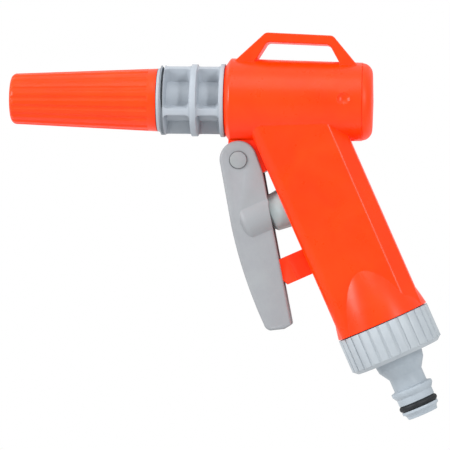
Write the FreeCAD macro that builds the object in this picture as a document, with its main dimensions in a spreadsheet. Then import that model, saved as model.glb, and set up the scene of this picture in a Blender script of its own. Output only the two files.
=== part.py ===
"""Hand-held trigger water-spray gun, as a parametric FreeCAD document.

Millimetres, +Z up, +X towards the user, -Y the left side. The origin is the centre of the snap
ridge of the hose tail. The grip leans forward from there and carries the barrel, whose axis is
level. Everything is symmetric about the XZ plane except the collar pockets and a small dimple.
"""
import FreeCAD, Part
import Sketcher
import math
import os
from types import SimpleNamespace

Vector = FreeCAD.Vector
Rotation = FreeCAD.Rotation

# ---------------------------------------------------------------- driving dimensions

SIZES = [
    # alias, value, meaning
    ("grip_tilt", 24.4, "grip axis to the vertical, degrees"),
    ("barrel_back", 75.8, "hose ridge to the front of the housing, along X"),
    ("barrel_up", 113.8, "hose ridge to the barrel axis, along Z"),
    ("housing_front_r", 16.9, "housing radius at the front"),
    ("housing_rear_r", 15.6, "housing radius at the rear"),
    ("housing_len", 54.8, "housing length up to the rear cap"),
    ("housing_bore_r", 13.2, "bore of the housing"),
    ("mouth_r", 12.0, "bore of the housing's front lip"),
    ("cap_depth", 4.4, "visible depth of the rear cap"),
    ("wall", 2.4, "wall of the orange mouldings"),
    ("grip_front", 17.5, "grip axis to the front face of the grip"),
    ("grip_half_w", 13.0, "half width of the grip"),
    ("grip_top", 122.0, "top of the grip prism, along the grip axis"),
    ("nut_top", 29.1, "top of the ring nut, along the grip axis"),
    ("nut_r", 19.1, "ring nut radius over the ribs"),
    ("nut_h", 15.5, "ring nut height"),
    ("nut_rib_count", 28, "ribs round the ring nut"),
    ("neck_r", 15.6, "threaded neck under the grip"),
    ("neck_bore_r", 11.0, "bore of the threaded neck"),
    ("neck_h", 9.0, "neck length below the top of the nut"),
    ("ridge_r", 8.6, "snap ridge of the hose tail"),
    ("tail_bore_r", 4.6, "waterway of the hose tail"),
    ("collar_len", 26.8, "collar length"),
    ("collar_r", 14.6, "collar rear ring radius"),
    ("rib_w", 2.8, "width of the ribs between the collar pockets"),
    ("pocket_floor_r", 8.2, "radius of the pocket floors"),
    ("sleeve_rear_r", 12.55, "spray sleeve radius at the collar"),
    ("sleeve_front_r", 10.15, "spray sleeve radius at the nose"),
    ("sleeve_nose", 86.1, "front of the housing to the nose of the sleeve"),
    ("sleeve_gap", 0.3, "gap between sleeve and collar when screwed in"),
    ("flute_count", 18, "flutes round the spray sleeve"),
    ("flute_depth", 0.5, "depth of the flutes"),
    ("stem_r", 5.0, "front part of the nozzle stem"),
    ("stem_rear_r", 6.2, "rear part of the nozzle stem"),
    ("stem_bore_r", 3.2, "waterway of the nozzle stem"),
    ("thread_r", 6.8, "adjusting thread on the nozzle stem"),
    ("orifice_r", 3.0, "outlet of the spray sleeve"),
    ("running", 0.06, "radial clearance of the running fits"),
    ("valve_up", 86.1, "valve axis above the ridge, along the grip axis"),
    ("plunger_r", 8.0, "plunger cap radius"),
    ("valve_r", 9.0, "valve body radius"),
    ("rod_r", 1.6, "valve stem radius"),
    ("tube_r", 4.0, "water tubes inside the grip, outside radius"),
    ("tube_bore_r", 2.8, "water tubes inside the grip, inside radius"),
    ("riser_u", -4.25, "riser port along the valve axis"),
    ("inlet_u", 4.8, "inlet port along the valve axis"),
    ("pivot_x", 6.0, "lever pivot behind the front of the housing"),
    ("pivot_down", 23.8, "lever pivot below the barrel axis"),
    ("lever_half_w", 7.8, "half width of the lever"),
    ("lever_gap_w", 5.9, "half width of the lever's channel"),
    ("lever_top_r", 7.5, "round top of the lever"),
    ("lever_curve_r", 187.0, "bow of the lever's lower front edge"),
    ("lever_pin_r", 2.0, "lever pin shaft radius"),
    ("lug_half_w", 5.5, "half width of the pivot lug"),
    ("catch_up", 62.9, "catch pin above the ridge, along the grip axis"),
    ("catch_u", -12.4, "catch pin in front of the grip axis"),
    ("catch_half_w", 3.3, "half width of the hold-open catch"),
    ("catch_pin_r", 1.2, "catch pin radius"),
    ("loop_half_w", 6.5, "half width of the hanging loop"),
]

doc = FreeCAD.newDocument("TriggerSprayGun")
sheet = doc.addObject("Spreadsheet::Sheet", "Sizes")
for row, (alias, value, meaning) in enumerate(SIZES, start=1):
    sheet.set(f"A{row}", meaning)
    sheet.set(f"B{row}", str(value))
    sheet.setAlias(f"B{row}", alias)
doc.recompute()


class Dim:
    """A size with the spreadsheet formula that gives it, so that sums of sizes stay parametric."""

    def __init__(self, value, formula):
        self.value, self.formula = float(value), formula

    def _join(self, sign, other, value):
        right = other.formula if isinstance(other, Dim) else repr(float(other))
        return Dim(value, f"({self.formula} {sign} {right})")

    def __add__(self, other):
        return self._join("+", other, self.value + number(other))

    def __sub__(self, other):
        return self._join("-", other, self.value - number(other))

    def __mul__(self, other):
        return self._join("*", other, self.value * number(other))

    def __truediv__(self, other):
        return self._join("/", other, self.value / number(other))

    def __neg__(self):
        return self * -1

    def __rsub__(self, other):
        return self * -1 + other

    __radd__ = __add__
    __rmul__ = __mul__


def number(size):
    return size.value if isinstance(size, Dim) else float(size)


def bind(thing, prop, size):
    """Set a property, and tie it to the spreadsheet when the size comes from there."""
    if isinstance(size, Dim):
        thing.setExpression(prop, size.formula)
    elif "." in prop:
        thing.setExpression(prop, repr(float(size)))
    else:
        setattr(thing, prop, size)


S = SimpleNamespace(**{alias: Dim(value, f"Sizes.{alias}") for alias, value, _ in SIZES})
TILT_SIN = Dim(math.sin(math.radians(S.grip_tilt.value)), "sin(Sizes.grip_tilt)")
TILT_COS = Dim(math.cos(math.radians(S.grip_tilt.value)), "cos(Sizes.grip_tilt)")


# ---------------------------------------------------------------- frames the pieces are drawn in

def along_grip(up, out=0):
    """Row position of a point up the grip axis and out towards the rear of the grip."""
    return -1 * TILT_SIN * up + TILT_COS * out, 0, TILT_COS * up + TILT_SIN * out


def frame(at, axis=(0, 1, 0), angle=0):
    return SimpleNamespace(at=at, axis=axis, angle=angle)


BARREL_AT = (-1 * S.barrel_back, 0, S.barrel_up)
PIVOT_AT = (S.pivot_x - S.barrel_back, 0, S.barrel_up - S.pivot_down)
SIDE = frame(BARREL_AT)                                   # X rearward, Z up, on the barrel axis
TURNED = frame(BARREL_AT, angle=90)                       # Z rearward along the barrel axis
GRIP = frame((0, 0, 0), angle=-1 * S.grip_tilt)           # Z up the grip, X to its rear
VALVE = frame(along_grip(S.valve_up), angle=90 - S.grip_tilt)   # Z rearward along the valve axis
PIVOT = frame(PIVOT_AT)                                   # as SIDE, on the lever pivot


def rolled(roll):
    """TURNED, rolled by some degrees about the barrel axis."""
    turn_by = Rotation(Vector(1, 0, 0), roll) * Rotation(Vector(0, 1, 0), 90)
    return frame(BARREL_AT, tuple(turn_by.Axis), math.degrees(turn_by.Angle))


def place(thing, where):
    thing.Placement = FreeCAD.Placement(Vector(), Rotation(Vector(*where.axis), number(where.angle)))
    bind(thing, "Placement.Rotation.Angle", where.angle)
    for letter, size in zip("xyz", where.at):
        bind(thing, f"Placement.Base.{letter}", size)


# ---------------------------------------------------------------- drawing and cutting helpers

def new_body(name, where):
    body = doc.addObject("PartDesign::Body", name)
    body.Label = name
    place(body, where)
    return body


def origin_feature(body, role):
    return next(item for item in body.Origin.OriginFeatures if item.Role == role)


def new_sketch(body, name, plane, offset=0):
    sketch = body.newObject("Sketcher::SketchObject", name)
    sketch.AttachmentSupport = [(origin_feature(body, plane), "")]
    sketch.MapMode = "FlatFace"
    if isinstance(offset, Dim) or offset:
        bind(sketch, "AttachmentOffset.Base.z", offset)
    return sketch


def fix_point(sketch, edge, end, point):
    for kind, size in zip(("DistanceX", "DistanceY"), point):
        index = sketch.addConstraint(Sketcher.Constraint(kind, -1, 1, edge, end, number(size)))
        if isinstance(size, Dim):
            sketch.setExpression(f"Constraints[{index}]", size.formula)


def arc_between(start, end, radius):
    """Arc from start to end; a positive radius bulges to the right of the way along."""
    chord = end - start
    reach = math.sqrt(radius * radius - chord.Length ** 2 / 4)
    side = Vector(-chord.y, chord.x, 0).normalize() * math.copysign(reach, radius)
    centre = (start + end) / 2 + side
    angles = [math.atan2(p.y - centre.y, p.x - centre.x) for p in (start, end)]
    if radius < 0:
        angles.reverse()
    return Part.ArcOfCircle(Part.Circle(centre, Vector(0, 0, 1), abs(radius)), *angles)


def outline(body, name, plane, points, arcs=None, offset=0):
    """Closed sketch through points. arcs gives the radius of the edge that leaves a point."""
    sketch = new_sketch(body, name, plane, offset)
    arcs = arcs or {}
    spots = [Vector(number(a), number(b), 0) for a, b in points]
    ends = []
    for i, start in enumerate(spots):
        end = spots[(i + 1) % len(spots)]
        if i in arcs:
            sketch.addGeometry(arc_between(start, end, number(arcs[i])), False)
        else:
            sketch.addGeometry(Part.LineSegment(start, end), False)
        ends.append((2, 1) if i in arcs and number(arcs[i]) < 0 else (1, 2))
    for i, (first, last) in enumerate(ends):
        following = (i + 1) % len(ends)
        sketch.addConstraint(Sketcher.Constraint("Coincident", i, last, following, ends[following][0]))
        fix_point(sketch, i, first, points[i])
    for i, radius in arcs.items():
        index = sketch.addConstraint(Sketcher.Constraint("Radius", i, abs(number(radius))))
        if isinstance(radius, Dim):
            sketch.setExpression(f"Constraints[{index}]", radius.formula)
    return sketch


def circle(body, name, plane, centre, radius, offset=0):
    sketch = new_sketch(body, name, plane, offset)
    middle = Vector(number(centre[0]), number(centre[1]), 0)
    sketch.addGeometry(Part.Circle(middle, Vector(0, 0, 1), number(radius)), False)
    fix_point(sketch, 0, 3, centre)
    index = sketch.addConstraint(Sketcher.Constraint("Radius", 0, number(radius)))
    if isinstance(radius, Dim):
        sketch.setExpression(f"Constraints[{index}]", radius.formula)
    return sketch


def turn(body, name, profile, arcs=None, cut=False, angle=360):
    """Revolve a (radius, height) profile about the body's Z axis, or cut it away."""
    sketch = outline(body, f"{name}_profile", "XZ_Plane", profile, arcs)
    kind = "Groove" if cut else "Revolution"
    feature = body.newObject(f"PartDesign::{kind}", name)
    feature.Profile = sketch
    feature.ReferenceAxis = (sketch, ["V_Axis"])
    feature.Midplane = number(angle) < 360
    bind(feature, "Angle", angle)
    return feature


def pad(body, name, sketch, length, cut=False, both_ways=True):
    feature = body.newObject("PartDesign::Pocket" if cut else "PartDesign::Pad", name)
    feature.Profile = sketch
    feature.SideType = "Symmetric" if both_ways else "One side"
    bind(feature, "Length", length)
    return feature


def ring_of(body, feature, count):
    """Repeat a feature round the body's Z axis."""
    pattern = body.newObject("PartDesign::PolarPattern", f"{feature.Name}_ring")
    pattern.Originals = [feature]
    pattern.Axis = (origin_feature(body, "Z_Axis"), [""])
    pattern.Angle = 360
    bind(pattern, "Occurrences", count)
    body.Tip = pattern
    return pattern


def soften(body, name, radius, wanted):
    """Round those edges of the body's last feature that wanted() picks."""
    doc.recompute()
    last = body.Tip
    picked = [f"Edge{i}" for i, edge in enumerate(last.Shape.Edges, start=1) if wanted(edge)]
    feature = body.newObject("PartDesign::Fillet", name)
    feature.Base = (last, picked)
    feature.Radius = radius
    return feature


def on_side(half_width):
    """Picks the edges of a part's two flat side faces."""
    return lambda edge: all(abs(abs(v.Y) - number(half_width)) < 1e-4 for v in edge.Vertexes)


def along_z(low_x=-1e9):
    """Picks the straight edges that run along the body's Z axis, beyond low_x."""
    def wanted(edge):
        ends = [v.Point for v in edge.Vertexes]
        return len(ends) == 2 and (ends[0] - ends[1]).cross(Vector(0, 0, 1)).Length < 1e-4 \
            and ends[0].x > low_x
    return wanted


def away_from_axis(edge):
    """Picks the straight edges that run straight out from the body's Z axis."""
    ends = [v.Point for v in edge.Vertexes]
    return len(ends) == 2 and math.dist(ends[0][:2], ends[1][:2]) > 1 \
        and abs(ends[0].cross(ends[1]).z) < 1e-3


def turned(name, where, profile, arcs=None):
    """A piece that is one revolved profile."""
    body = new_body(name, where)
    turn(body, f"{name}_turned", profile, arcs)
    return body


def ring_profile(inner, outer, low, high):
    return [(inner, low), (outer, low), (outer, high), (inner, high)]


def rod(name, where, radius, low, high, centre=(0, 0)):
    """A plain cylinder along a frame's Z axis, kept as a helper for unions and cuts."""
    body = new_body(name, where)
    pad(body, f"{name}_pad", circle(body, f"{name}_circle", "XY_Plane", centre, radius, low),
        high - low, both_ways=False)
    return body


def union(name, *pieces):
    whole = doc.addObject("Part::MultiFuse", name)
    whole.Shapes = list(pieces)
    whole.Refine = True
    return whole


def cut(name, base, *tools):
    tool = tools[0] if len(tools) == 1 else union(f"{name}_tools", *tools)
    result = doc.addObject("Part::Cut", name)
    result.Base, result.Tool = base, tool
    result.Refine = True
    return result


def keep(piece, name):
    """Give a finished sub-part the label that names its file."""
    piece.Label = name
    PARTS[name] = piece
    return piece


PARTS = {}


# ---------------------------------------------------------------- orange housing and grip

def housing_solid():
    """Tapered barrel housing with a chamfered front lip."""
    return turned("housing", TURNED, [
        (0, 0), (S.housing_front_r - 3.4, 0), (S.housing_front_r - 0.3, 2.1),
        (S.housing_front_r, 2.6), (S.housing_rear_r, S.housing_len), (0, S.housing_len)])


def grip_outline(inset=0):
    """Section of the grip: round front corners, flat sides, chamfered rear."""
    front = -1 * S.grip_front + inset
    side = S.grip_half_w - inset
    corner = 5.0 - number(inset) / 2
    rear, crease, rear_side = 17.4 - number(inset), 12.0 - number(inset) / 2, 8.0 - number(inset) / 2
    half = [(front + corner, side), (crease, side), (rear, rear_side)]
    points = [(front, side - corner)] + half + [(x, -1 * y) for x, y in reversed(half)]
    points.append((front, corner - side))
    return points, {0: -corner, 6: -corner}


def grip_solid():
    body = new_body("grip", GRIP)
    points, arcs = grip_outline()
    sketch = outline(body, "grip_section", "XY_Plane", points, arcs, offset=S.nut_top)
    pad(body, "grip_pad", sketch, S.grip_top - S.nut_top, both_ways=False)
    soften(body, "grip_creases", 1.8, along_z(low_x=5))
    return body


def skirt_solid():
    """Flared skirt that meets the grip's flats in an arch, and the threaded neck under it."""
    top = S.nut_top
    neck_end = top - S.neck_h
    return turned("skirt", GRIP, [
        (0, neck_end), (S.neck_r, neck_end), (S.neck_r, top), (19.0, top), (12.8, top + 22.3),
        (0, top + 22.3)], {3: 110.0})


def loop_solid():
    """Flat bar bent over the housing, to hang the gun by."""
    body = new_body("loop", SIDE)
    outer = [(2.5, 12.0), (4.4, 16.1), (15.4, 26.3), (17.2, 27.0), (41.9, 26.0), (43.7, 25.1),
             (52.7, 14.4), (53.2, 12.0)]
    pad(body, "loop_pad", outline(body, "loop_outer", "XZ_Plane", outer, {2: -2.5, 4: -2.5}),
        2 * S.loop_half_w)
    window = [(11.5, 15.0), (13.0, 17.0), (16.2, 22.2), (18.0, 23.2), (40.4, 22.4), (42.4, 21.0),
              (45.3, 15.8), (45.6, 14.0)]
    pad(body, "loop_window", outline(body, "loop_inner", "XZ_Plane", window, {2: -2.2, 4: -2.6}),
        2 * S.loop_half_w + 2, cut=True)
    soften(body, "loop_edges", 0.5, on_side(S.loop_half_w))
    return body


def lug_solid():
    """Web that carries the lever pin, between the lever's cheeks."""
    body = new_body("lug", PIVOT)
    nose = 4.7
    points = [(-3.9, 12.5), (-nose, 0.0), (0.0, -nose), (9.9, -4.8), (18.0, 0.0), (24.0, 12.5)]
    pad(body, "lug_pad", outline(body, "lug_outline", "XZ_Plane", points, {1: nose}),
        2 * S.lug_half_w)
    return body


def catch_block():
    """Solid block behind the grip's front wall, for the catch slot and its pin."""
    body = new_body("catch_block", GRIP)
    low, high = S.catch_up - 7.6, S.catch_up + 7.6
    points = [(-1 * S.grip_front + 1.2, low), (S.catch_u + 4.2, low), (S.catch_u + 4.2, high),
              (-1 * S.grip_front + 1.2, high)]
    pad(body, "catch_block_pad", outline(body, "catch_block_outline", "XZ_Plane", points),
        2 * (S.catch_half_w + 3.0))
    return body


def catch_slot():
    body = new_body("catch_slot", GRIP)
    low, high = S.catch_up - 6.3, S.catch_up + 6.3
    points = [(-1 * S.grip_front - 1, low), (S.catch_u + 4.0, low), (S.catch_u + 4.0, high),
              (-1 * S.grip_front - 1, high)]
    pad(body, "catch_slot_pad", outline(body, "catch_slot_outline", "XZ_Plane", points),
        2 * (S.catch_half_w + 0.3))
    return body


def cross_rod(name, where, radius, half_len, centre=(0, 0)):
    """A cylinder across the gun, symmetric about its middle plane."""
    body = new_body(name, where)
    pad(body, f"{name}_pad", circle(body, f"{name}_circle", "XZ_Plane", centre, radius), 2 * half_len)
    return body


def grip_cavity():
    body = new_body("grip_cavity", GRIP)
    points, arcs = grip_outline(inset=S.wall)
    low, high = S.nut_top + 22.0, S.grip_top - 4.0
    sketch = outline(body, "cavity_section", "XY_Plane", points, arcs, offset=low)
    pad(body, "cavity_pad", sketch, high - low, both_ways=False)
    return body


def pistol_body():
    shell = union("shell_solid", housing_solid(), grip_solid(), skirt_solid(), loop_solid(),
                  lug_solid())
    bore = turned("housing_bore", TURNED, [
        (0, -1), (S.mouth_r, -1), (S.mouth_r, 6), (S.housing_bore_r, 6),
        (S.housing_bore_r, S.housing_len + 1), (0, S.housing_len + 1)])
    neck_bore = rod("neck_bore", GRIP, S.neck_bore_r, S.nut_top - S.neck_h - 1, S.nut_top + 23)
    hollow = cut("hollow_shell", shell, bore, neck_bore, grip_cavity())
    guide = rod("plunger_guide", VALVE, S.plunger_r + 2.2, -16.0, -10.2)
    filled = union("shell_with_guides", hollow, guide, catch_block())
    dimple = doc.addObject("Part::Sphere", "dimple")
    dimple.Radius = 3.9
    dimple_back, dimple_side, dimple_up = 47.8, -18.7, 0.8
    middle = (dimple_back - S.barrel_back, dimple_side, S.barrel_up + dimple_up)
    for letter, size in zip("xyz", middle):
        bind(dimple, f"Placement.Base.{letter}", size)
    body = cut("pistol_body", filled,
               rod("plunger_hole", VALVE, S.plunger_r + S.running, -20, -9),
               catch_slot(),
               cross_rod("catch_pin_hole", GRIP, S.catch_pin_r, S.catch_half_w + 1.8,
                         (S.catch_u, S.catch_up)),
               cross_rod("lever_pin_hole", PIVOT, S.lever_pin_r + S.running, S.lug_half_w + 1),
               dimple)
    keep(body, "pistol_body")


def rear_cap():
    """Plug with a rounded rim that closes the housing."""
    seat, back = S.housing_len, S.housing_len + S.cap_depth
    corner, round_r = 4.1, 4.3
    rim = S.housing_rear_r - 0.2
    profile = [(0, seat + 1.6), (10.8, seat + 1.6), (10.8, seat - 4.0), (S.housing_bore_r, seat - 4.0),
               (S.housing_bore_r, seat), (rim, seat), (rim - corner, back - 0.4), (0, back)]
    keep(turned("rear_cap", TURNED, profile, {5: round_r}), "rear_cap")


# ---------------------------------------------------------------- barrel: collar, stem, sleeve

def barrel_collar():
    """Ring with two rows of four deep pockets, drafted and round in their corners."""
    low = -1 * S.collar_len
    rib_r, ring_r = 13.9, 14.4
    blank = turned("collar_blank", TURNED, [
        (S.stem_rear_r, low), (12.6, low), (13.5, low + 2.8), (rib_r, low + 2.8), (rib_r, -13.2),
        (ring_r, -13.2), (ring_r, -10.8), (rib_r, -10.8), (rib_r, -1.6), (S.collar_r, -1.6),
        (S.collar_r, 0), (S.mouth_r, 0), (S.mouth_r, 5), (S.stem_rear_r, 5)])
    first_roll, corner, beyond = -23.0, 1.7, 20.0
    sector = 90 - S.rib_w / rib_r * math.degrees(1)
    draft = 0.15                              # how far a pocket wall leans for each mm of depth
    lean_in, lean_out = draft * (rib_r - S.pocket_floor_r), draft * (beyond - rib_r)
    pockets = []
    for front, rear in ((-23.9, -13.4), (-10.9, -1.7)):
        for quarter in range(4):
            name = f"pocket_{len(pockets)}"
            pocket = new_body(name, rolled(first_roll + 90 * quarter))
            turn(pocket, f"{name}_turned", [
                (S.pocket_floor_r, front + lean_in), (beyond, front - lean_out),
                (beyond, rear + lean_out), (S.pocket_floor_r, rear - lean_in)], angle=sector)
            soften(pocket, f"{name}_corners", corner, away_from_axis)
            pockets.append(pocket)
    keep(cut("barrel_collar", blank, *pockets), "barrel_collar")


def nozzle_stem():
    """Water tube along the barrel: chamber over the riser, adjusting thread, ports, spray pin."""
    chamber_front, chamber_rear = 10.0, 30.0
    blank = new_body("stem_blank", TURNED)
    thread_end, thread_start, pitch = -46.0, -27.4, 3.0
    thread = []
    crest = thread_start
    while crest - pitch > thread_end:
        thread += [(S.thread_r, crest), (S.thread_r, crest - 1.6), (S.thread_r - 0.7, crest - 2.0),
                   (S.thread_r - 0.7, crest - pitch + 0.4)]
        crest -= pitch
    turn(blank, "stem_outside", [
        (0, chamber_rear), (8.0, chamber_rear), (8.0, chamber_front), (S.stem_rear_r, chamber_front),
        (S.stem_rear_r, thread_start)] + thread + [
        (S.thread_r, crest), (S.thread_r, thread_end), (S.stem_r, thread_end), (S.stem_r, -74.0),
        (4.6, -79.7), (2.2, -84.5), (0, -85.0)])
    port = pad(blank, "stem_port", circle(blank, "port_circle", "YZ_Plane", (0, -69.8), 1.3), 8.0,
               cut=True, both_ways=False)
    port.Reversed = True
    ring_of(blank, port, 4)
    boss = rod("stem_boss", RISER, 5.6, -11.0, 0)
    socket = rod("stem_socket", RISER, S.tube_r, -12.0, -6.0)
    way = rod("stem_inlet", RISER, S.tube_bore_r, -12.0, 0)
    waterway = rod("stem_waterway", TURNED, S.stem_bore_r, -71.5, chamber_rear - 3)
    keep(cut("nozzle_stem", union("stem_with_boss", blank, boss), waterway, socket, way),
         "nozzle_stem")


def sleeve_o_ring():
    middle, half = -58.0, 1.2
    profile = ring_profile(S.stem_r + S.running, 7.0, middle - half, middle + half)
    keep(turned("sleeve_o_ring", TURNED, profile), "sleeve_o_ring")


def spray_sleeve():
    """Hollow fluted cone with the outlet in its nose."""
    body = new_body("spray_sleeve", TURNED)
    rear, nose = -1 * (S.collar_len + S.sleeve_gap), -1 * S.sleeve_nose
    bore = S.thread_r + S.running
    inside = [(bore, rear), (bore, -55.0), (5.5, -55.0), (5.5, -56.75), (7.0 + S.running, -56.75),
              (7.0 + S.running, -59.25), (5.5, -59.25), (5.5, -61.0), (7.4, -61.0), (7.4, -76.8),
              (6.0, -77.6), (S.orifice_r, -83.6), (S.orifice_r, nose + 0.8),
              (S.orifice_r + 1.0, nose)]
    outside = [(S.sleeve_front_r - 2.0, nose), (S.sleeve_front_r, nose + 2.5), (S.sleeve_rear_r, rear)]
    turn(body, "sleeve_wall", inside + outside, {14: 2.3})
    mid_x, half_len = -57.6, 27.0
    taper = math.degrees(math.atan((S.sleeve_rear_r.value - S.sleeve_front_r.value) / 56.5))
    cutter = body.newObject("PartDesign::SubtractiveCylinder", "flute")
    cutter.MapMode = "Deactivated"
    cutter.Radius = 1.35
    cutter.Height = 2 * half_len + 6
    radius_mid = 11.25 - S.flute_depth.value + cutter.Radius.Value
    start = Vector(0, -radius_mid, mid_x) + Vector(0, math.sin(math.radians(taper)),
                                                   -math.cos(math.radians(taper))) * (half_len + 6)
    cutter.Placement = FreeCAD.Placement(start, Rotation(Vector(1, 0, 0), taper))
    ring_of(body, cutter, S.flute_count)
    keep(body, "spray_sleeve")


# ---------------------------------------------------------------- valve in the grip

def valve_body():
    """Cross chamber: gland neck in front, seat in the middle, inlet chamber behind."""
    blank = turned("valve_blank", VALVE, [
        (0, -13.0), (4.2, -13.0), (4.2, -8.0), (S.valve_r, -8.0), (S.valve_r, 11.0), (0, 11.0)])
    reach = 13.0
    bosses, cuts = [], []
    for port, u, sign in (("riser", S.riser_u, 1), ("inlet", S.inlet_u, -1)):
        where = frame(along_grip(S.valve_up, u), angle=-1 * S.grip_tilt)
        near, far = (7.0, reach) if sign > 0 else (-reach, -7.0)
        bosses.append(rod(f"valve_boss_{port}", where, 5.2, near, far))
        low, high = (9.0, reach + 1) if sign > 0 else (-reach - 1, -9.0)
        cuts.append(rod(f"valve_socket_{port}", where, S.tube_r, low, high))
        low, high = (0, reach) if sign > 0 else (-reach, 0)
        cuts.append(rod(f"valve_way_{port}", where, S.tube_bore_r, low, high))
    slide_r = S.rod_r + S.running
    chambers = turned("valve_chambers", VALVE, [
        (0, -14.0), (3.0, -14.0), (3.0, -9.4), (slide_r, -9.4), (slide_r, -6.6), (6.0, -6.6),
        (6.0, -1.5), (4.0, -1.5), (4.0, 0.5), (6.5, 0.5), (6.5, 12.0), (0, 12.0)])
    filled = union("valve_with_bosses", blank, *bosses)
    keep(cut("valve_body", filled, chambers, *cuts), "valve_body")


def valve_small_parts():
    """Plug, gland, seals, moving stem and its poppet, all turned about the valve axis."""
    keep(turned("valve_plug", VALVE, [(0, 9.2), (6.5, 9.2), (6.5, 11.0), (8.0, 11.0), (8.0, 12.4),
                                      (0, 12.4)]), "valve_plug")
    slide_r = S.rod_r + S.running
    keep(turned("gland_nut", VALVE, [(slide_r, -13.8), (4.0, -13.8), (4.0, -13.0), (3.0, -13.0),
                                     (3.0, -11.0), (slide_r, -11.0)]), "gland_nut")
    keep(turned("stem_seal", VALVE, ring_profile(slide_r, 3.0, -11.0, -9.4)), "stem_seal")
    keep(turned("valve_stem", VALVE, ring_profile(0, S.rod_r, -23.4, 3.3)), "valve_stem")
    keep(turned("poppet_seal", VALVE, ring_profile(S.rod_r, 5.0, 0.55, 1.55)), "poppet_seal")
    keep(turned("poppet", VALVE, [(S.rod_r, 1.55), (4.6, 1.55), (4.2, 2.6), (2.8, 3.3),
                                  (S.rod_r, 3.3)]), "poppet")


def plunger_cap():
    """Domed cup that slides in the grip, with the boss that the lever pushes."""
    r = S.plunger_r
    keep(turned("plunger_cap", VALVE, [
        (0, -23.4), (S.rod_r, -23.4), (S.rod_r, -21.0), (6.4, -21.0), (6.4, -15.0), (r, -15.0),
        (r, -17.5), (r - 0.7, -23.2), (r - 1.7, -24.2), (3.6, -25.0), (3.6, -31.5), (0, -34.0)],
        {10: -4.0}), "plunger_cap")


def valve_spring():
    """Compression spring round the gland neck, between the cup's floor and the valve body."""
    mean_r, wire_r, turns = 5.3, 0.5, 5
    low, high = -20.4, -8.6
    body = new_body("valve_spring", VALVE)
    coil = body.newObject("PartDesign::AdditiveHelix", "coil")
    coil.Profile = circle(body, "spring_wire", "XZ_Plane", (mean_r, low), wire_r)
    coil.ReferenceAxis = (coil.Profile[0], ["V_Axis"])
    coil.Pitch = (high - low) / turns
    coil.Height = high - low
    keep(body, "valve_spring")


def riser():
    """Straight tube from the valve up to the nozzle stem, with a gasket at each end."""
    length = (S.barrel_up - TILT_COS * S.valve_up - TILT_SIN * S.riser_u) / TILT_COS
    top, bottom = -6.0, 9.0 - length
    tube = turned("riser_tube", RISER, ring_profile(S.tube_bore_r, S.tube_r, bottom + 0.8, top - 0.8))
    keep(tube, "riser_tube")
    gaskets = [turned(f"riser_gasket_{i}", RISER, ring_profile(S.tube_bore_r, S.tube_r, low, low + 0.8))
               for i, low in enumerate((bottom, top - 0.8))]
    pair = doc.addObject("Part::Compound", "riser_gaskets")
    pair.Links = gaskets
    keep(pair, "riser_gaskets")


def inlet():
    """Tube with a flange in the neck, then a gentle S up to the offset inlet port."""
    low, flange_top = S.nut_top - 6.0, S.nut_top - 3.2
    port_end = S.valve_up - 9.8
    bend_low, bend_high = S.nut_top + 8.0, port_end - 8.0
    rise = number(bend_high - bend_low)
    shift = number(S.inlet_u)
    bend_r = (rise * rise + shift * shift) / (4 * shift)
    middle = ((shift / 2), number(bend_low) + rise / 2)
    start = Vector(0, 0, number(low))
    line_1 = Part.makeLine(start, Vector(0, 0, number(bend_low)))
    half_turn = math.asin(rise / 2 / bend_r) / 2

    def on_arc(centre_x, z_from, sign, angle):
        away = Vector(-1 * math.cos(angle), 0, math.sin(angle)) * sign * bend_r
        return Vector(centre_x, 0, z_from) + away

    arc_1 = Part.Arc(Vector(0, 0, number(bend_low)), on_arc(bend_r, number(bend_low), 1, half_turn),
                     Vector(middle[0], 0, middle[1])).toShape()
    arc_2 = Part.Arc(Vector(middle[0], 0, middle[1]),
                     on_arc(shift - bend_r, number(bend_high), -1, half_turn),
                     Vector(shift, 0, number(bend_high))).toShape()
    line_2 = Part.makeLine(Vector(shift, 0, number(bend_high)), Vector(shift, 0, number(port_end)))
    path = Part.Wire([line_1, arc_1, arc_2, line_2])
    solids = [path.makePipeShell([Part.Wire(Part.makeCircle(number(r), start))], True, True)
              for r in (S.tube_r, S.tube_bore_r)]
    flange = Part.makeCylinder(number(S.neck_bore_r), number(flange_top - low), start)
    tube = solids[0].fuse(flange).cut(solids[1])
    piece = doc.addObject("Part::Feature", "inlet_tube")
    piece.Shape = tube.Solids[0]
    place(piece, GRIP)
    keep(piece, "inlet_tube")
    gasket_at = frame(along_grip(S.valve_up, S.inlet_u), angle=-1 * S.grip_tilt)
    gasket = turned("inlet_gasket", gasket_at, ring_profile(S.tube_bore_r, S.tube_r, -9.8, -9.0))
    keep(gasket, "inlet_gasket")


# ---------------------------------------------------------------- hose end of the grip

def ring_nut():
    """Union nut with broad axial ribs, narrow grooves between them, above a plain lip."""
    body = new_body("ring_nut", GRIP)
    shadow_gap, lip_h, groove_depth = 0.3, 1.4, 0.5
    top, bottom = S.nut_top - shadow_gap, S.nut_top - S.nut_h
    valley, crown = S.nut_r - groove_depth, S.nut_r - 0.05
    turn(body, "nut_wall", [
        (10.1, bottom), (S.nut_r - 1.8, bottom), (S.nut_r - 0.2, bottom + lip_h),
        (valley, bottom + lip_h + 0.2), (valley, top - 0.3), (valley - 0.3, top), (S.neck_r, top),
        (S.neck_r, bottom + 2.5), (10.1, bottom + 2.5)])
    half, corner = 1.65, 0.3
    rib = [(valley - 0.6, -1 * half), (crown - 0.2, -1 * half), (crown, corner - half),
           (crown, half - corner), (crown - 0.2, half), (valley - 0.6, half)]
    sketch = outline(body, "rib_outline", "XY_Plane", rib, {2: S.nut_r}, offset=bottom + lip_h)
    ring_of(body, pad(body, "rib", sketch, top - bottom - lip_h - 0.2, both_ways=False),
            S.nut_rib_count)
    keep(body, "ring_nut")


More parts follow.
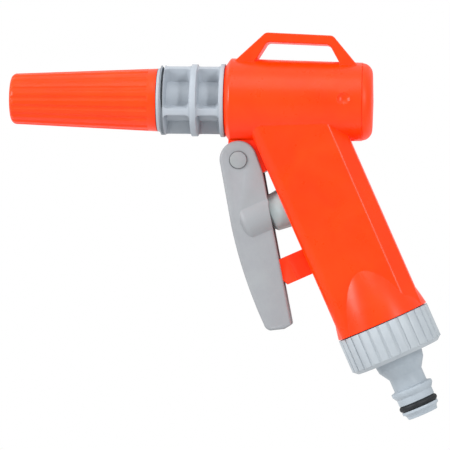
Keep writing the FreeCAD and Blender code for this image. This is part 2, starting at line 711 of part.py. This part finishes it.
def hose_tail():
    """Snap-in male connector: flange, shoulder, neck, snap ridge, O-ring groove, tip."""
    flange_low = S.nut_top - 13.0
    keep(turned("hose_tail", GRIP, [
        (S.tail_bore_r, flange_low + 2.8), (15.0, flange_low + 2.8), (15.0, flange_low),
        (9.9, flange_low), (9.9, 12.6), (9.5, 10.3), (6.9, 6.2), (6.9, 1.1), (S.ridge_r, 0.6),
        (S.ridge_r, -0.6), (7.7, -2.1), (7.45, -2.3), (7.45, -5.1), (5.6, -5.1), (5.6, -7.7),
        (7.6, -7.7), (7.6, -8.8), (6.4, -10.0), (6.2, -11.1), (S.tail_bore_r, -11.1)],
        {16: 1.9}), "hose_tail")
    ring = doc.addObject("Part::Torus", "tail_o_ring")
    ring.Radius1, ring.Radius2 = 6.8, 1.2
    place(ring, frame(along_grip(-6.4), angle=-1 * S.grip_tilt))
    keep(ring, "tail_o_ring")


def inlet_seals():
    seat = S.nut_top - 10.2
    keep(turned("inlet_washer", GRIP, ring_profile(8.0, 15.0, seat, S.nut_top - S.neck_h)),
         "inlet_washer")
    body = new_body("inlet_filter", GRIP)
    low = S.nut_top - 8.4
    turn(body, "filter_disc", ring_profile(0, S.neck_bore_r - 0.1, low, low + 1.2))
    for ring, (count, radius) in enumerate(((6, 3.2), (12, 6.2), (18, 9.0))):
        hole = pad(body, f"filter_hole_{ring}",
                   circle(body, f"hole_circle_{ring}", "XY_Plane", (radius, 0), 0.9, low), 4.0, cut=True)
        ring_of(body, hole, count)
    keep(body, "inlet_filter")


# ---------------------------------------------------------------- lever and catch

def lever():
    """Channel-shaped squeeze lever, open to the grip, with cheeks bulged round the plunger."""
    shape = [(-7.5, -0.5), (-2.4, -27.0), (10.9, -65.2), (13.6, -67.6), (19.1, -66.9),
             (21.9, -65.2), (13.3, -23.0), (9.8, -4.9), (7.1, 2.5)]
    inner = [(-5.3, -0.6), (-0.2, -27.0), (12.9, -64.4), (14.8, -65.4), (30.0, -65.4),
             (30.0, 12.0), (-8.8, 12.0), (-8.8, 3.0), (-5.3, 3.0)]
    outside = new_body("lever_outside", PIVOT)
    sketch = outline(outside, "lever_outline", "XZ_Plane", shape,
                     {1: S.lever_curve_r, 2: 3.2, 8: S.lever_top_r})
    pad(outside, "lever_pad", sketch, 2 * S.lever_half_w)
    soften(outside, "lever_edges", 1.0, on_side(S.lever_half_w))
    inside = new_body("lever_inside", PIVOT)
    channel = outline(inside, "channel_outline", "XZ_Plane", inner, {1: S.lever_curve_r})
    pad(inside, "lever_channel", channel, 2 * S.lever_gap_w)
    bulge = turned("lever_bulge", VALVE, [(0, -35.6), (7.0, -35.6), (9.8, -32.8), (9.8, -22.0),
                                          (0, -22.0)], {1: 2.9})
    bulge_room = turned("bulge_room", VALVE, [(0, -34.6), (6.8, -34.6), (8.8, -32.6), (8.8, -10.0),
                                              (0, -10.0)])
    behind = new_body("behind_lever", PIVOT)
    pad(behind, "behind_pad", outline(behind, "behind_outline", "XZ_Plane", [
        (12.3, -18.2), (13.3, -23.0), (16.9, -41.0), (60.0, -41.0), (60.0, 20.0), (12.3, 20.0)]), 40.0)
    barrel_room = rod("barrel_room", TURNED, 17.4, -20, 40)
    pusher = rod("pusher", VALVE, 3.4, -38.2, -34.3)
    cheeks = cut("lever_cheeks", union("lever_union", outside, bulge), inside, bulge_room, behind,
                 barrel_room)
    head_in, head_out = S.lever_half_w - 0.35, S.lever_half_w + 0.6
    recesses = cut("pin_recesses", cross_rod("recess_blank", PIVOT, 3.55, S.lever_half_w + 1),
                   cross_rod("recess_gap", PIVOT, 5.0, head_in))
    keep(cut("lever", union("lever_with_pusher", cheeks, pusher), recesses,
             cross_rod("lever_hole", PIVOT, S.lever_pin_r, S.lever_half_w + 1)), "lever")
    pin = cross_rod("lever_pin_shaft", PIVOT, S.lever_pin_r, head_in)
    heads = cut("lever_pin_heads", cross_rod("pin_head_blank", PIVOT, 3.35, head_out),
                cross_rod("pin_head_gap", PIVOT, 5.0, head_in))
    keep(union("lever_pin", pin, heads), "lever_pin")


def hold_open_catch():
    """Swinging bar between the grip and the lever; it props the lever when it is swung up."""
    body = new_body("hold_open_catch", GRIP)
    low, high = S.nut_top + 28.5, S.nut_top + 39.1
    front = -30.0
    points = [(-1 * S.grip_front - 0.4, low), (S.catch_u, S.catch_up - 3.2),
              (S.catch_u, S.catch_up + 3.2), (-1 * S.grip_front - 0.4, high), (front, high),
              (front - 0.2, low + 3.2), (front + 1.4, low)]
    sketch = outline(body, "catch_outline", "XZ_Plane", points, {1: 3.2})
    pad(body, "catch_pad", sketch, 2 * (S.catch_half_w - 0.5))
    step = -24.1
    block = [(step, low), (step, high), (front, high), (front - 0.2, low + 3.2), (front + 1.4, low)]
    pad(body, "catch_front_pad", outline(body, "catch_front", "XZ_Plane", block), 2 * S.catch_half_w)
    soften(body, "catch_edges", 0.4, on_side(S.catch_half_w))
    hole = circle(body, "catch_hole_circle", "XZ_Plane", (S.catch_u, S.catch_up),
                  S.catch_pin_r + S.running)
    pad(body, "catch_hole", hole, 20.0, cut=True)
    keep(body, "hold_open_catch")
    keep(cross_rod("catch_pin", GRIP, S.catch_pin_r, S.catch_half_w + 1.8, (S.catch_u, S.catch_up)),
         "catch_pin")


# ---------------------------------------------------------------- build, check, write

RISER_AT = (TILT_COS * S.riser_u - TILT_SIN * (S.barrel_up - TILT_SIN * S.riser_u) / TILT_COS,
            0, S.barrel_up)
RISER = frame(RISER_AT, angle=-1 * S.grip_tilt)           # Z up the riser, on the barrel axis

for build in (pistol_body, rear_cap, barrel_collar, nozzle_stem, sleeve_o_ring, spray_sleeve,
              valve_body, valve_small_parts, plunger_cap, valve_spring, riser, inlet, ring_nut,
              hose_tail, inlet_seals, lever, hold_open_catch):
    build()
doc.recompute()

for item in doc.Objects:
    bad = [state for state in item.State if state in ("Invalid", "Error")]
    if bad:
        raise RuntimeError(f"{item.Name} failed: {item.State}")
for name, piece in PARTS.items():
    if piece.Shape.isNull() or not piece.Shape.isValid() or not piece.Shape.Solids:
        raise RuntimeError(f"{name} has no valid solid")

os.makedirs("parts", exist_ok=True)
for name, piece in PARTS.items():
    piece.Shape.exportStep(f"parts/{name}.step")
    print(f"{name}: {len(piece.Shape.Solids)} solid, {piece.Shape.Volume:.0f} mm3")
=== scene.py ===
# Trigger spray gun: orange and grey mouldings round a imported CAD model. Metres, the row's frame:
# +Z up, +X towards the user, -Y the left side, origin at the snap ridge of the hose tail.
import math

import bpy
from mathutils import Matrix, Vector


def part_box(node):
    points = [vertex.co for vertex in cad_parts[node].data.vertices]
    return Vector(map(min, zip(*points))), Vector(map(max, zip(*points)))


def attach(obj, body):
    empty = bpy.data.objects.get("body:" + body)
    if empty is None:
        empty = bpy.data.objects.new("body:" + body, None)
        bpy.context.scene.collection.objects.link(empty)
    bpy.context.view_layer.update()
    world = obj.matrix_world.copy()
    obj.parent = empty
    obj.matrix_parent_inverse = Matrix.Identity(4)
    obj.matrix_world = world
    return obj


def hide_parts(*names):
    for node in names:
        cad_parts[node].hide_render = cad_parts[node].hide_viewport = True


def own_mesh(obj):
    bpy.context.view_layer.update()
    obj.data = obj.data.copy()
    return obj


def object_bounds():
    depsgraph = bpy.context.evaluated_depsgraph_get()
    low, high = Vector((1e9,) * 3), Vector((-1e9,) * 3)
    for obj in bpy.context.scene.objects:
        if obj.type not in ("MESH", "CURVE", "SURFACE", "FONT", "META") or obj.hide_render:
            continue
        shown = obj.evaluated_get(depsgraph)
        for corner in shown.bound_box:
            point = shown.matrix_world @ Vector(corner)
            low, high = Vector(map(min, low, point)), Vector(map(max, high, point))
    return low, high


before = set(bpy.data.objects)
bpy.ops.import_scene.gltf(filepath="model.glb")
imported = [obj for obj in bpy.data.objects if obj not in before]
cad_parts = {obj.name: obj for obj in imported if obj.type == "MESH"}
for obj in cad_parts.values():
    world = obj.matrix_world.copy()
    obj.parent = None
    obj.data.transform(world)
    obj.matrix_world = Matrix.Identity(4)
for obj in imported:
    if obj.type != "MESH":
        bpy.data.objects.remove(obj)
cad_low, cad_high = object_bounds()
bpy.ops.object.select_all(action="DESELECT")


# ---------------------------------------------------------------- orange shell
# Housing, grip, skirt and hanging loop are one injection moulding in orange ABS. The mould is
# spark-eroded very finely, so the shell is satin: a soft, broad highlight over faint flow tone.

MM = 0.001


def linear(code):
    """sRGB hex to a linear RGBA colour."""
    parts = [int(code[i:i + 2], 16) / 255 for i in (1, 3, 5)]
    return [c / 12.92 if c <= 0.04045 else ((c + 0.055) / 1.055) ** 2.4 for c in parts] + [1.0]


def add(tree, kind, settings=None, links=None, stops=()):
    """Adds a node. settings are its properties or unlinked inputs, links its linked inputs, and
    stops the places and colours of a colour ramp."""
    node = tree.nodes.new(kind)
    for key, value in (settings or {}).items():
        if isinstance(key, str) and hasattr(node, key):
            setattr(node, key, value)
        else:
            node.inputs[key].default_value = value
    for key, source in (links or {}).items():
        tree.links.new(source, node.inputs[key])
    if stops:
        band = node.color_ramp
        while len(band.elements) < len(stops):
            band.elements.new(0.5)
        for element, (position, colour) in zip(band.elements, stops):
            element.position, element.color = position, colour
    return node


def moulded_plastic(name, deep, base, pale, roughness, ior=1.54, grain_mm=0.35, bump=0.06,
                    edge_mm=0.25, sheen=0.2):
    """Satin moulding: flow tone, duller and shinier patches, spark-eroded grain, soft edges and
    corners rubbed a little paler. The real grain is under 0.1 mm and is drawn coarser to show."""
    flow_mm, speckle_mm, rub_patch_mm, gloss_patch_mm, sink_mm = 18, 0.9, 4, 7, 9
    speckle_share, rub_share, sink_share = 0.18, 0.35, 3.0
    bump_depth_mm = 0.05
    hide, show = linear("#000000"), linear("#ffffff")

    material = bpy.data.materials.new(name)
    material.use_nodes = True
    tree = material.node_tree
    shader = tree.nodes["Principled BSDF"]
    where = add(tree, "ShaderNodeTexCoord").outputs["Object"]

    # Flow tone: slow streaks from the gate with a fine speckle of pigment.
    flow = add(tree, "ShaderNodeTexNoise",
               {"Scale": 1 / (flow_mm * MM), "Detail": 3.0, "Roughness": 0.55, "Distortion": 0.6},
               {"Vector": where})
    speckle = add(tree, "ShaderNodeTexNoise", {"Scale": 1 / (speckle_mm * MM), "Detail": 2.0},
                  {"Vector": where})
    fine = add(tree, "ShaderNodeMath",
               {"operation": "MULTIPLY_ADD", 1: speckle_share, 2: -speckle_share / 2},
               {0: speckle.outputs["Fac"]})
    tone = add(tree, "ShaderNodeMath", {"operation": "ADD"},
               {0: flow.outputs["Fac"], 1: fine.outputs[0]})
    colour = add(tree, "ShaderNodeValToRGB", links={"Fac": tone.outputs[0]},
                 stops=[(0.32, linear(deep)), (0.5, linear(base)), (0.68, linear(pale))])

    # Rubbed corners: the sharpest edges go pale in patches, where hands and pockets rub them.
    shape = add(tree, "ShaderNodeNewGeometry")
    worn = add(tree, "ShaderNodeValToRGB", links={"Fac": shape.outputs["Pointiness"]},
               stops=[(0.515, hide), (0.56, show)])
    patches = add(tree, "ShaderNodeTexNoise", {"Scale": 1 / (rub_patch_mm * MM), "Detail": 4.0},
                  {"Vector": where})
    broken = add(tree, "ShaderNodeValToRGB", links={"Fac": patches.outputs["Fac"]},
                 stops=[(0.45, hide), (0.62, show)])
    wear = add(tree, "ShaderNodeMath", {"operation": "MULTIPLY"},
               {0: worn.outputs["Color"], 1: broken.outputs["Color"]})
    rub = add(tree, "ShaderNodeMath", {"operation": "MULTIPLY", 1: rub_share},
              {0: wear.outputs[0]})
    surface = add(tree, "ShaderNodeMix", {"data_type": "RGBA", 7: linear(pale)},
                  {"Factor": rub.outputs[0], 6: colour.outputs["Color"]})
    tree.links.new(surface.outputs[2], shader.inputs["Base Color"])

    # Gloss: the melt copies the mould more and less closely from place to place.
    polish = add(tree, "ShaderNodeTexNoise",
                 {"Scale": 1 / (gloss_patch_mm * MM), "Detail": 5.0, "Roughness": 0.6},
                 {"Vector": where})
    gloss = add(tree, "ShaderNodeMapRange",
                {"From Min": 0.3, "From Max": 0.7,
                 "To Min": roughness - 0.05, "To Max": roughness + 0.07},
                {"Value": polish.outputs["Fac"]})
    tree.links.new(gloss.outputs["Result"], shader.inputs["Roughness"])

    # Relief: the eroded grain, slow sink marks under it, and edges that catch a thin light.
    grain = add(tree, "ShaderNodeTexNoise",
                {"Scale": 1 / (grain_mm * MM), "Detail": 2.0, "Roughness": 0.5},
                {"Vector": where})
    sink = add(tree, "ShaderNodeTexNoise", {"Scale": 1 / (sink_mm * MM), "Detail": 1.0},
               {"Vector": where})
    slow = add(tree, "ShaderNodeMath", {"operation": "MULTIPLY", 1: sink_share},
               {0: sink.outputs["Fac"]})
    height = add(tree, "ShaderNodeMath", {"operation": "ADD"},
                 {0: grain.outputs["Fac"], 1: slow.outputs[0]})
    rounded = add(tree, "ShaderNodeBevel", {"samples": 6, "Radius": edge_mm * MM})
    skin = add(tree, "ShaderNodeBump", {"Strength": bump, "Distance": bump_depth_mm * MM},
               {"Height": height.outputs[0], "Normal": rounded.outputs["Normal"]})
    tree.links.new(skin.outputs["Normal"], shader.inputs["Normal"])
    shader.inputs["IOR"].default_value = ior
    shader.inputs["Specular IOR Level"].default_value = sheen
    return material


def dress(material, *names):
    """Gives CAD nodes their material through their own slots."""
    for name in names:
        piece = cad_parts[name]
        if not piece.material_slots:
            piece.data.materials.append(material)
        for slot in piece.material_slots:
            slot.material = material


# Satin orange ABS: strong colour that stays saturated, under a thin, broad sheen.
orange_shell = moulded_plastic("orange_abs_satin", "#ff3100", "#ff3400", "#ff3802", 0.3)
dress(orange_shell, "pistol_body")


# ---------------------------------------------------------------- rear cap
# Round plug that closes the back of the housing, moulded in the same orange ABS and welded in.
# Its rim is broken by a small radius, which shows as a faint ring on the housing.

def copy_of(name):
    """A merged copy of a CAD node, selected, as the start of a finer piece."""
    same_point_mm, flat_within = 0.002, math.radians(0.1)
    piece = bpy.data.objects.new(name + "_moulded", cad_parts[name].data.copy())
    bpy.context.scene.collection.objects.link(piece)
    bpy.ops.object.select_all(action="DESELECT")
    piece.select_set(True)
    bpy.context.view_layer.objects.active = piece
    bpy.ops.object.mode_set(mode="EDIT")
    bpy.ops.mesh.select_all(action="SELECT")
    bpy.ops.mesh.remove_doubles(threshold=same_point_mm * MM)
    bpy.ops.mesh.dissolve_limited(angle_limit=flat_within)
    bpy.ops.object.mode_set(mode="OBJECT")
    return piece


def stand_for(piece, node, body, material):
    """Lets a finished piece stand for its CAD node."""
    piece.data.materials.clear()
    piece.data.materials.append(material)
    piece.select_set(False)
    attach(piece, body)
    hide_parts(node)


def break_corners(piece, round_mm):
    """Rounds the corners by the small radius that a mould leaves."""
    crease = math.radians(32)
    corners = piece.modifiers.new("broken_corners", "BEVEL")
    corners.limit_method = "ANGLE"
    corners.angle_limit = crease
    corners.offset_type = "OFFSET"
    corners.width = round_mm * MM
    corners.segments = 2
    corners.miter_outer = "MITER_ARC"
    corners.use_clamp_overlap = True
    bpy.ops.object.modifier_apply(modifier=corners.name)
    bpy.ops.object.shade_smooth_by_angle(angle=crease)


# Orange ABS from another shot: the same colour as the housing, but duller.
orange_cap = moulded_plastic("orange_abs_cap", "#fb3300", "#fd3600", "#ff3a03", 0.4)
cap = copy_of("rear_cap")
break_corners(cap, 0.2)
stand_for(cap, "rear_cap", "gun", orange_cap)


# ---------------------------------------------------------------- spray sleeve
# Hollow fluted cone that turns on the nozzle stem to change the jet. Orange ABS, moulded with
# its flutes along the draw, so they leave the mould cleanly and keep a fine edge.

# Orange ABS a touch paler than the shell, and slightly duller from handling.
orange_sleeve = moulded_plastic("orange_abs_sleeve", "#ff3400", "#ff3701", "#ff3b04", 0.34,
                                edge_mm=0.2)
sleeve = copy_of("spray_sleeve")
break_corners(sleeve, 0.15)
stand_for(sleeve, "spray_sleeve", "sleeve", orange_sleeve)


# ---------------------------------------------------------------- hold-open catch
# Small orange bar that swings on a cross pin in the grip and props the lever. Moulded in POM,
# which slides well on the lever.

# Orange POM: waxier and duller than the ABS shell.
orange_catch = moulded_plastic("orange_pom_catch", "#fb3404", "#fd3806", "#ff3e0a", 0.42)
catch = copy_of("hold_open_catch")
break_corners(catch, 0.2)
stand_for(catch, "hold_open_catch", "catch", orange_catch)


# ---------------------------------------------------------------- barrel collar
# Light grey ABS ring between sleeve and housing. Two rows of four deep pockets keep its wall
# thin, so it cools evenly; its spigot is pressed into the housing's mouth.

# Cool grey ABS: matt enough that the pockets read as soft shadow.
collar_grey = moulded_plastic("grey_abs_collar", "#949ba3", "#989fa7", "#9da4ab", 0.42)
collar = copy_of("barrel_collar")
collar_low, collar_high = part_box("barrel_collar")
barrel_z = (collar_low.z + collar_high.z) / 2

# The shoulder behind the front ring moves forward and outward, which closes the thin fin that
# the drafted pockets leave there.
fin_radius, shoulder_radius = 13.5 * MM, 13.9 * MM
fin_depth, shoulder_depth, slack = 2.8 * MM, 1.3 * MM, 0.05 * MM
for vertex in collar.data.vertices:
    across = math.hypot(vertex.co.y, vertex.co.z - barrel_z)
    behind_front = vertex.co.x - collar_low.x
    if abs(behind_front - fin_depth) < slack and abs(across - fin_radius) < slack:
        grow = shoulder_radius / across
        vertex.co.x = collar_low.x + shoulder_depth
        vertex.co.y *= grow
        vertex.co.z = barrel_z + (vertex.co.z - barrel_z) * grow
break_corners(collar, 0.35)
stand_for(collar, "barrel_collar", "gun", collar_grey)


# ---------------------------------------------------------------- squeeze lever
# Channel-shaped lever in warm grey ABS, open towards the grip, with cheeks that bulge round the
# plunger. The outer edges are rounded where the fingers pull.

# Warm mid-grey ABS, the dullest of the mouldings, because fingers have matted it.
lever_grey = moulded_plastic("grey_abs_lever", "#84878a", "#87898d", "#8b8e91", 0.44)
lever = copy_of("lever")
break_corners(lever, 0.25)
stand_for(lever, "lever", "lever", lever_grey)


# ---------------------------------------------------------------- lever pin
# Moulded cross pin through the cheeks and the housing's lug. Its heads are snapped into shallow
# round recesses in the cheeks.

# The same ABS as the lever. Its colours are set a shade darker as painted shade for the recess it
# sits in.
pin_grey_painted_shade = moulded_plastic("grey_abs_pin_painted_shade", "#818488", "#858889", "#8a8d90", 0.42)
pin = copy_of("lever_pin")
break_corners(pin, 0.2)
stand_for(pin, "lever_pin", "lever", pin_grey_painted_shade)


# ---------------------------------------------------------------- plunger cap
# Domed cup that slides in the grip, with the boss that the lever pushes. Moulded in acetal, as
# it has to slide in the housing without grease.

# Pale acetal: slightly green-grey, and shinier than the ABS.
plunger_grey = moulded_plastic("pale_acetal_plunger", "#99a6a8", "#9dabac", "#a3b0b1", 0.36)
plunger = copy_of("plunger_cap")
break_corners(plunger, 0.2)
stand_for(plunger, "plunger_cap", "plunger", plunger_grey)


# ---------------------------------------------------------------- ring nut
# Union nut in light grey ABS, with broad ribs for the fingers above a plain lip. It is screwed
# onto the neck under the skirt and holds the hose tail.

# The palest of the grey mouldings, matt on its ribs.
nut_grey = moulded_plastic("grey_abs_nut", "#99a0a6", "#9da4aa", "#a2a9ae", 0.42)
nut = copy_of("ring_nut")
break_corners(nut, 0.15)
stand_for(nut, "ring_nut", "gun", nut_grey)


# ---------------------------------------------------------------- hose tail
# Snap-in male connector in light grey ABS: shoulder, neck, snap ridge and O-ring groove, with a
# flange that the ring nut clamps.

# Cool grey ABS with a slight sheen, since its seal faces come from a polished part of the mould.
tail_grey = moulded_plastic("grey_abs_tail", "#949da5", "#99a2aa", "#9ea7af", 0.4)
tail = copy_of("hose_tail")
break_corners(tail, 0.2)
stand_for(tail, "hose_tail", "gun", tail_grey)


# ---------------------------------------------------------------- inside mouldings
# Nozzle stem, valve chamber, plug, gland nut and poppet are black glass-filled nylon; the two
# water tubes are white nylon, pushed into their sockets.

# Glass-filled nylon is dull, with fibres that roughen its skin; plain nylon is milky and smoother.
inner_black = moulded_plastic("black_nylon_inner", "#101012", "#17171a", "#222226", 0.5,
                              grain_mm=0.25, bump=0.12)
inner_white = moulded_plastic("white_nylon_tube", "#d2d2cc", "#dcdcd6", "#e6e6e1", 0.45)
dress(inner_black, "nozzle_stem", "valve_body", "valve_plug", "gland_nut", "poppet")
dress(inner_white, "riser_tube", "inlet_tube")


# ---------------------------------------------------------------- rubber seals
# O-rings, gaskets and washer in black nitrile rubber, compression moulded and stretched or
# dropped into their grooves.

# Nitrile rubber: near black, matt from its talc, with a fine skin.
rubber = moulded_plastic("black_nbr_rubber", "#111315", "#1a1c1f", "#2a2d30", 0.52, ior=1.52,
                         grain_mm=0.2, bump=0.15, edge_mm=0.1)
dress(rubber, "tail_o_ring", "sleeve_o_ring", "stem_seal", "poppet_seal", "riser_gaskets",
      "inlet_gasket", "inlet_washer")


# ---------------------------------------------------------------- stainless parts
# Valve stem and catch pin are drawn stainless rod, and the inlet filter is a perforated
# stainless disc that rests on the hose tail's washer.

def drawn_steel(name, base, roughness):
    """Bare stainless: drawing leaves fine marks, so the sheen is streaky. The real marks are
    about 0.05 mm apart and are drawn coarser to show."""
    mark_mm, relief_mm = 0.3, 0.02
    material = bpy.data.materials.new(name)
    material.use_nodes = True
    tree = material.node_tree
    shader = tree.nodes["Principled BSDF"]
    shader.inputs["Metallic"].default_value = 1.0
    where = add(tree, "ShaderNodeTexCoord").outputs["Object"]
    marks = add(tree, "ShaderNodeTexNoise", {"Scale": 1 / (mark_mm * MM), "Detail": 4.0},
                {"Vector": where})
    colour = add(tree, "ShaderNodeValToRGB", links={"Fac": marks.outputs["Fac"]},
                 stops=[(0.3, linear("#8f9092")), (0.7, linear(base))])
    tree.links.new(colour.outputs["Color"], shader.inputs["Base Color"])
    gloss = add(tree, "ShaderNodeMapRange",
                {"To Min": roughness - 0.08, "To Max": roughness + 0.1},
                {"Value": marks.outputs["Fac"]})
    tree.links.new(gloss.outputs["Result"], shader.inputs["Roughness"])
    skin = add(tree, "ShaderNodeBump", {"Strength": 0.1, "Distance": relief_mm * MM},
               {"Height": marks.outputs["Fac"]})
    tree.links.new(skin.outputs["Normal"], shader.inputs["Normal"])
    return material


steel = drawn_steel("drawn_stainless_wire", "#c4c5c6", 0.3)
filter_steel = drawn_steel("perforated_stainless", "#bdbdb8", 0.36)
dress(steel, "valve_stem", "catch_pin")
dress(filter_steel, "inlet_filter")


# ---------------------------------------------------------------- return spring
# Five turns of drawn stainless wire between the plunger cup and the valve body. The real spring
# shortens towards the valve body as the plunger goes in; this copy keeps the shape of its CAD
# node.

spring = copy_of("valve_spring")
bpy.ops.object.shade_smooth_by_angle(angle=math.radians(60))
stand_for(spring, "valve_spring", "gun", steel)
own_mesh(spring)


# ---------------------------------------------------------------- floor and room
# A matt white studio floor far enough below that the gun floats clear of it, in an even white
# room that is a little brighter overhead.

floor_size, floor_height = 8.0, -0.9
bpy.ops.mesh.primitive_plane_add(size=floor_size, location=(0, 0, floor_height))
floor = bpy.context.object
floor.name = "studio_floor"
floor_white = bpy.data.materials.new("matt_white_floor")
floor_white.use_nodes = True
floor_paint = floor_white.node_tree.nodes["Principled BSDF"]
floor_paint.inputs["Base Color"].default_value = linear("#fbfbfb")
floor_paint.inputs["Roughness"].default_value = 0.9
floor.data.materials.append(floor_white)

room = bpy.data.worlds.new("pale_room")
room.use_nodes = True
sky = room.node_tree
white = linear("#ffffff")
low_light, high_light = 0.6, 1.3
backdrop = sky.nodes["Background"]
backdrop.inputs["Color"].default_value = white
backdrop.inputs["Strength"].default_value = 1.0
up = add(sky, "ShaderNodeSeparateXYZ",
         links={0: add(sky, "ShaderNodeTexCoord").outputs["Generated"]})
dome = add(sky, "ShaderNodeMapRange",
           {"From Min": 0.0, "From Max": 1.0, "To Min": low_light, "To Max": high_light},
           {"Value": up.outputs["Z"]})
walls = add(sky, "ShaderNodeBackground", {"Color": white}, {"Strength": dome.outputs["Result"]})
seen = add(sky, "ShaderNodeLightPath").outputs["Is Camera Ray"]
both = add(sky, "ShaderNodeMixShader",
           links={0: seen, 1: walls.outputs[0], 2: backdrop.outputs[0]})
sky.links.new(both.outputs[0], sky.nodes["World Output"].inputs["Surface"])
bpy.context.scene.world = room


# ---------------------------------------------------------------- lights
# A big softbox beyond the nose, a weaker one above, and a tall narrow strip beyond the grip,
# all of them on the left side of the gun.

middle = (cad_low + cad_high) / 2


def softbox(name, away, wide, watts, tall=None):
    """A rectangular area light at middle + away, aimed at the middle."""
    lamp = bpy.data.lights.new(name, "AREA")
    lamp.shape = "RECTANGLE"
    lamp.size, lamp.size_y = wide, tall or wide
    lamp.energy = watts
    holder = bpy.data.objects.new(name, lamp)
    bpy.context.scene.collection.objects.link(holder)
    holder.location = middle + Vector(away)
    holder.rotation_euler = (-Vector(away)).to_track_quat("-Z", "Y").to_euler()


softbox("left_softbox", away=(-0.66, -0.34, 0.2), wide=0.36, watts=5.5)
softbox("overhead_softbox", away=(-0.05, -0.5, 0.66), wide=0.5, watts=1.8)
softbox("right_strip", away=(0.5, -0.62, 0.22), wide=0.08, watts=3.2, tall=0.4)


# ---------------------------------------------------------------- camera
# Nearly square on to the left side, a little towards the grip and a touch above the middle.

distance, eye_rise, frame_width = 1.143, 0.007, 0.180
azimuth, roll = math.radians(4.33), math.radians(0.68)
aim = Vector((middle.x, 0, middle.z))
eye = aim + Vector((math.sin(azimuth) * distance, -math.cos(azimuth) * distance, eye_rise))
camera_data = bpy.data.cameras.new("camera")
camera_data.sensor_width = 36.0
camera_data.lens = camera_data.sensor_width * distance / frame_width
camera = bpy.data.objects.new("camera", camera_data)
bpy.context.scene.collection.objects.link(camera)
look = (aim - eye).to_track_quat("-Z", "Y").to_matrix()
camera.matrix_world = Matrix.Translation(eye) @ (look @ Matrix.Rotation(roll, 3, "Z")).to_4x4()
bpy.context.scene.camera = camera
bpy.context.scene.view_settings.view_transform = "Standard"
bpy.context.scene.view_settings.look = "None"
